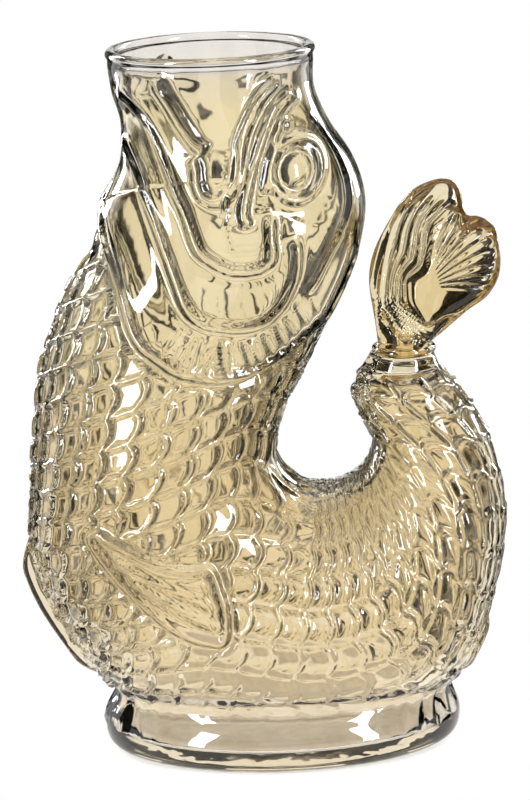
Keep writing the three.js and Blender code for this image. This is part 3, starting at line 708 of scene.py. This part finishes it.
fin_z = (left_z + right_z) / 2 + (right_z - left_z) / 2 * fin_across + lobes[..., 1]


FIN_LINE_STEPS = 60


def flat_distance(points, x, z):
    """Distance in the fin's plane to a drawn line, positive on its left."""
    line = spline(points, np.linspace(0, len(points) - 1, FIN_LINE_STEPS))
    best = np.full(x.shape, 1e9)
    signed = np.zeros(x.shape)
    for start, end in zip(line[:-1], line[1:]):
        step_x, step_z = end - start
        f = np.clip(((x - start[0]) * step_x + (z - start[1]) * step_z) / (step_x**2 + step_z**2), 0, 1)
        gap_x, gap_z = x - start[0] - f * step_x, z - start[1] - f * step_z
        away = np.hypot(gap_x, gap_z)
        side = np.where(step_x * gap_z - step_z * gap_x >= 0, 1, -1)
        signed = np.where(away < best, side * away, signed)
        best = np.minimum(best, away)
    return signed


# A smooth limb runs up the left edge, and ribs follow it over the tall lobe. A front leaf laps over the
# ribs, with pleats that fan from its smooth palm, and the stalk is hollowed beside the palm's point.
LIMB_EDGE = [on_fin(*point) for point in [
    (9.4, 93.8), (-3.4, 76), (-8.4, 63.8), (-13.2, 48.8), (-15.6, 37.2), (-16, 27.2), (-10, 19.2),
    (-2.6, 8.3)]]
LEAF_EDGE = [on_fin(*point) for point in [
    (50, 84), (37, 81.7), (30.2, 78), (22.6, 72.2), (20.8, 60), (16.6, 49.4), (6.6, 43.5), (5.4, 38.2),
    (6.2, 32), (10.8, 25.7), (17.4, 17.7), (23.4, 20.6), (30.4, 23.5), (39.2, 24), (56, 24)]]
PALM = on_fin(14, 40)
PALM_HEIGHT = 1.2
PALM_RADIUS = 9
CUP = on_fin(-1, 22)
CUP_DEPTH = 3.2
CUP_HALF = (11, 5.5)
CUP_TEAR = 0.06
LIMB_HEIGHT = 1.3
LIMB_FADE = 6
LIMB_GROOVE = 1.1
RIBS = 4
RIB_HEIGHT = 1.1
PLEAT_DEGREES = 9.5
PLEAT_HEIGHT = 2.2
PLEAT_DROP = 1.4
LAP_HEIGHT = 2.8
LAP_FADE = 14
FAR_FACE = 0.4
limb_in = -flat_distance(LIMB_EDGE, fin_x, fin_z)
leaf_in = flat_distance(LEAF_EDGE, fin_x, fin_z)
limb = LIMB_HEIGHT * ease(-0.9, 0.9, limb_in) * np.exp(-np.maximum(limb_in, 0) / LIMB_FADE)
limb = limb - LIMB_GROOVE * np.exp(-(((limb_in + 1.6) / 1.2) ** 2))
to_limb = np.maximum(-limb_in, 0)
to_leaf = np.maximum(-leaf_in, 0)
between_edges = to_limb / np.maximum(to_limb + to_leaf, 1e-6)
ribbed = ease(0.36, 0.5, fin_share) * ease(0.95, 0.84, fin_share)
ribbed = ribbed * ease(0.8, 2, to_limb) * ease(0, 1.5, to_leaf)
rib = RIB_HEIGHT * ribbed * np.cos(2 * math.pi * RIBS * between_edges)
palm_x, palm_z = fin_x - PALM[0], fin_z - PALM[1]
palm_out = np.hypot(palm_x, palm_z)
pleat_turn = np.degrees(np.arctan2(palm_z, palm_x)) + 0.25 * palm_out
pleated = ease(5, 13, palm_out) * ease(0.97, 0.86, fin_share) * ease(0.5, 2.5, leaf_in)
pleated = pleated * ease(-6, 2, pleat_turn) * ease(0.985, 0.9, fin_across)
pleat = pleated * (PLEAT_HEIGHT * np.abs(np.cos(math.pi * pleat_turn / PLEAT_DEGREES)) - PLEAT_DROP)
front_leaf = LAP_HEIGHT * ease(-0.8, 0.8, leaf_in) * np.exp(-np.maximum(leaf_in, 0) / LAP_FADE)
front_leaf = front_leaf * ease(1, 0.8, fin_share)
palm = PALM_HEIGHT * np.exp(-((palm_out / PALM_RADIUS) ** 2)) * ease(0, 2, leaf_in)
cup_x, cup_z = fin_x - CUP[0], fin_z - CUP[1]
cup_along = (cup_x - cup_z) / math.sqrt(2)
cup_side = (cup_x + cup_z) / math.sqrt(2)
cup = CUP_DEPTH * np.exp(-((cup_along / CUP_HALF[0]) ** 4) - (cup_side / CUP_HALF[1]) ** 4)
face = np.sin(fin_angle)
near_face = np.where(face < 0, 1, FAR_FACE)
torn = np.sin(2.3 * fin_x + 3.1 * fin_z) + np.sin(4.1 * fin_x - 2.7 * fin_z + 1.5 * np.sin(1.3 * fin_x))
fin_relief = near_face * (limb + rib + pleat + front_leaf + palm - cup * (1 - CUP_TEAR * torn))
fin_relief = fin_relief * ease(0.16, 0.28, fin_share)
roundness = np.sqrt(np.clip((1 - fin_share) / FIN_ROUNDING, 0, 1))
fin_y = roundness * (fin_half * face + fin_relief * face * ease(0, 0.5, np.abs(face)))
fin_y = fin_y - FIN_TWIST * fin_across * ease(0.2, 0.6, fin_share)
fin_points = np.stack([fin_x, fin_y, fin_z], -1)


def fan_mesh(name, rings):
    """A closed skin over whole rings: a fan across the first one, and the last one zipped shut."""
    count, columns = rings.shape[:2]
    points = np.concatenate([rings.reshape(-1, 3), rings[:1].mean(1)]) / 1000
    base = np.arange(count - 1)[:, None] * columns
    here = base + np.arange(columns)
    there = base + (np.arange(columns) + 1) % columns
    quads = np.stack([here, there, there + columns, here + columns], -1).reshape(-1, 4).tolist()
    foot = len(points) - 1
    caps = [(foot, (i + 1) % columns, i) for i in range(columns)]
    top = (count - 1) * columns
    far = columns // 2
    caps += [(top, top + 1, top + columns - 1), (top + far - 1, top + far, top + far + 1)]
    caps += [(top + i, top + i + 1, top + columns - i - 1, top + columns - i) for i in range(1, far - 1)]
    return glass_piece(name, points, quads + caps)


fin = fan_mesh("pressed_tail_fin", fin_points)
fin.data.materials.append(champagne_glass("amber_pressed_glass", ripple=0.0004, density=36))
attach(fin, "root")
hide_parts("tail_fin")


# The studio
# A pale table top under soft light. The surround is white where the camera and the glass look through it,
# with dark cards between the white panels, which draw the edges of the glass.
scene = bpy.context.scene
scene.view_settings.view_transform = "Standard"
FLOOR_RADIUS = 0.112
FLOOR_RINGS = (0.075, 0.087, 0.1, FLOOR_RADIUS)
FLOOR_SIDES = 96
FLOOR_LEVEL = -0.0002
floor_mesh = bpy.data.meshes.new("table_top")
floor_turn = np.linspace(0, 2 * math.pi, FLOOR_SIDES, endpoint=False)
floor_points = [(0, 0, FLOOR_LEVEL)]
floor_faces = []
for ring_at, radius in enumerate(FLOOR_RINGS):
    floor_points += [(radius * math.cos(a), radius * math.sin(a), FLOOR_LEVEL) for a in floor_turn]
    start = 1 + FLOOR_SIDES * ring_at
    before = start - FLOOR_SIDES
    for i in range(FLOOR_SIDES):
        j = (i + 1) % FLOOR_SIDES
        if ring_at == 0:
            floor_faces.append((0, start + i, start + j))
        else:
            floor_faces.append((before + i, start + i, start + j, before + j))
floor_mesh.from_pydata(floor_points, [], floor_faces)
floor = bpy.data.objects.new("table_top", floor_mesh)
scene.collection.objects.link(floor)

# The table glows white towards its edge, so that only a soft shadow beside the foot shows.
SHADOW_REACH = (0.06, 0.9 * FLOOR_RADIUS)
SHADOW_GLOW = 0.45
paint = bpy.data.materials.new("white_table")
paint.use_nodes = True
nodes, links = paint.node_tree.nodes, paint.node_tree.links
nodes.remove(nodes["Principled BSDF"])
matte = nodes.new("ShaderNodeBsdfDiffuse")
matte.inputs["Color"].default_value = (0.9, 0.9, 0.9, 1)
glow = nodes.new("ShaderNodeEmission")
glow.inputs["Strength"].default_value = 1.0
ray = nodes.new("ShaderNodeLightPath")
seen = nodes.new("ShaderNodeMath")
seen.operation = "MAXIMUM"
links.new(ray.outputs["Is Camera Ray"], seen.inputs[0])
seen_too = nodes.new("ShaderNodeMath")
seen_too.operation = "MAXIMUM"
links.new(ray.outputs["Is Glossy Ray"], seen_too.inputs[0])
links.new(ray.outputs["Is Transmission Ray"], seen_too.inputs[1])
links.new(seen_too.outputs["Value"], seen.inputs[1])
where = nodes.new("ShaderNodeTexCoord")
far = nodes.new("ShaderNodeVectorMath")
far.operation = "LENGTH"
links.new(where.outputs["Object"], far.inputs[0])
fade = nodes.new("ShaderNodeMapRange")
fade.inputs["From Min"].default_value = SHADOW_REACH[0]
fade.inputs["From Max"].default_value = SHADOW_REACH[1]
fade.inputs["To Min"].default_value = SHADOW_GLOW
fade.inputs["To Max"].default_value = 1.0
links.new(far.outputs["Value"], fade.inputs["Value"])
share = nodes.new("ShaderNodeMath")
share.operation = "MULTIPLY"
links.new(fade.outputs["Result"], share.inputs[0])
links.new(seen.outputs["Value"], share.inputs[1])
blend = nodes.new("ShaderNodeMixShader")
links.new(share.outputs["Value"], blend.inputs["Fac"])
links.new(matte.outputs["BSDF"], blend.inputs[1])
links.new(glow.outputs["Emission"], blend.inputs[2])
links.new(blend.outputs["Shader"], nodes["Material Output"].inputs["Surface"])
floor.data.materials.append(paint)

# Eight white panels stand round the carafe, with black cards between them and above, under a white ceiling
# panel. Only rays that meet glass see the cards.
PANELS = 8
PANEL_EDGE = (-0.2, -0.05)
CARD_LEVEL = 0.01
AMBIENT = 0.5
PANEL_TOP = (0.16, 0.22)
PANEL_ABOVE = (0.34, 0.4)
CEILING = (0.5, 0.6)
world = bpy.data.worlds.new("studio")
scene.world = world
world.use_nodes = True
nodes, links = world.node_tree.nodes, world.node_tree.links


def worked(operation, first, second):
    """A maths node in the world that works on two sockets or numbers."""
    node = nodes.new("ShaderNodeMath")
    node.operation = operation
    for socket, value in zip(node.inputs, (first, second)):
        if isinstance(value, (int, float)):
            socket.default_value = value
        else:
            links.new(value, socket)
    return node.outputs["Value"]


def between(value, limits, low, high):
    """A soft step of a socket from one level to another between two limits."""
    node = nodes.new("ShaderNodeMapRange")
    node.interpolation_type = "SMOOTHSTEP"
    node.inputs["From Min"].default_value = limits[0]
    node.inputs["From Max"].default_value = limits[1]
    node.inputs["To Min"].default_value = low
    node.inputs["To Max"].default_value = high
    links.new(value, node.inputs["Value"])
    return node.outputs["Result"]


look = nodes.new("ShaderNodeTexCoord")
parts = nodes.new("ShaderNodeSeparateXYZ")
links.new(look.outputs["Generated"], parts.inputs["Vector"])
bearing = worked("ARCTAN2", parts.outputs["X"], parts.outputs["Y"])
rhythm = worked("COSINE", worked("MULTIPLY", bearing, PANELS), 0.0)
low_row = between(parts.outputs["Z"], PANEL_TOP, 1.0, 0.0)
high_row = between(parts.outputs["Z"], PANEL_ABOVE, 0.0, 1.0)
panels = worked("MULTIPLY", between(rhythm, PANEL_EDGE, 0.0, 1.0), worked("MAXIMUM", low_row, high_row))
panels = worked("MAXIMUM", panels, between(parts.outputs["Z"], CEILING, 0.0, 1.0))
panels = worked("MAXIMUM", panels, CARD_LEVEL)
ray = nodes.new("ShaderNodeLightPath")
through = worked("MAXIMUM", ray.outputs["Is Glossy Ray"], ray.outputs["Is Transmission Ray"])
cards = nodes.new("ShaderNodeMix")
links.new(through, cards.inputs["Factor"])
links.new(worked("MAXIMUM", ray.outputs["Is Camera Ray"], AMBIENT), cards.inputs["A"])
links.new(panels, cards.inputs["B"])
links.new(cards.outputs["Result"], nodes["Background"].inputs["Strength"])
nodes["Background"].inputs["Color"].default_value = (1, 1, 1, 1)

# Four tall strip lights stand at the corners and draw white lines on the glass.
STRIP = (0.2, 0.85)
STRIP_AWAY = 1.1
STRIP_HEIGHT = 0.5
STRIP_AIM = Vector((0, 0, 0.13))
STRIP_POWER = 13
for corner in (45, 135, 225, 315):
    turn = math.radians(corner)
    lamp_data = bpy.data.lights.new("strip_light", "AREA")
    lamp_data.shape = "RECTANGLE"
    lamp_data.size, lamp_data.size_y = STRIP
    lamp_data.energy = STRIP_POWER
    lamp = bpy.data.objects.new("strip_light", lamp_data)
    lamp.location = (STRIP_AWAY * math.cos(turn), STRIP_AWAY * math.sin(turn), STRIP_HEIGHT)
    lamp.rotation_euler = (STRIP_AIM - lamp.location).to_track_quat("-Z", "Y").to_euler()
    lamp.visible_camera = False
    lamp.visible_transmission = False
    scene.collection.objects.link(lamp)

# The camera stands where the photograph was taken from, worked out from the rim's ellipse and the foot.
PICTURE_HEIGHT = 800
FOCAL_PIXELS = 3557
SENSOR = 36.0
CAMERA_AWAY = 1.318
CAMERA_RISE = math.radians(13.3)
CAMERA_ROLL = math.radians(2.165)
AIM = Vector((-0.0023, 0, 0.1292))
camera_data = bpy.data.cameras.new("camera")
camera_data.sensor_width = SENSOR
camera_data.lens = FOCAL_PIXELS * SENSOR / PICTURE_HEIGHT
camera_data.clip_start = 0.01
camera = bpy.data.objects.new("camera", camera_data)
back = Vector((0, -math.cos(CAMERA_RISE), math.sin(CAMERA_RISE)))
level = Vector((1, 0, 0))
upright = back.cross(level)
right = math.cos(CAMERA_ROLL) * level - math.sin(CAMERA_ROLL) * upright
top = math.sin(CAMERA_ROLL) * level + math.cos(CAMERA_ROLL) * upright
turn = Matrix((right, top, back)).transposed()
camera.matrix_world = Matrix.Translation(AIM + CAMERA_AWAY * back) @ turn.to_4x4()
scene.collection.objects.link(camera)
scene.camera = camera
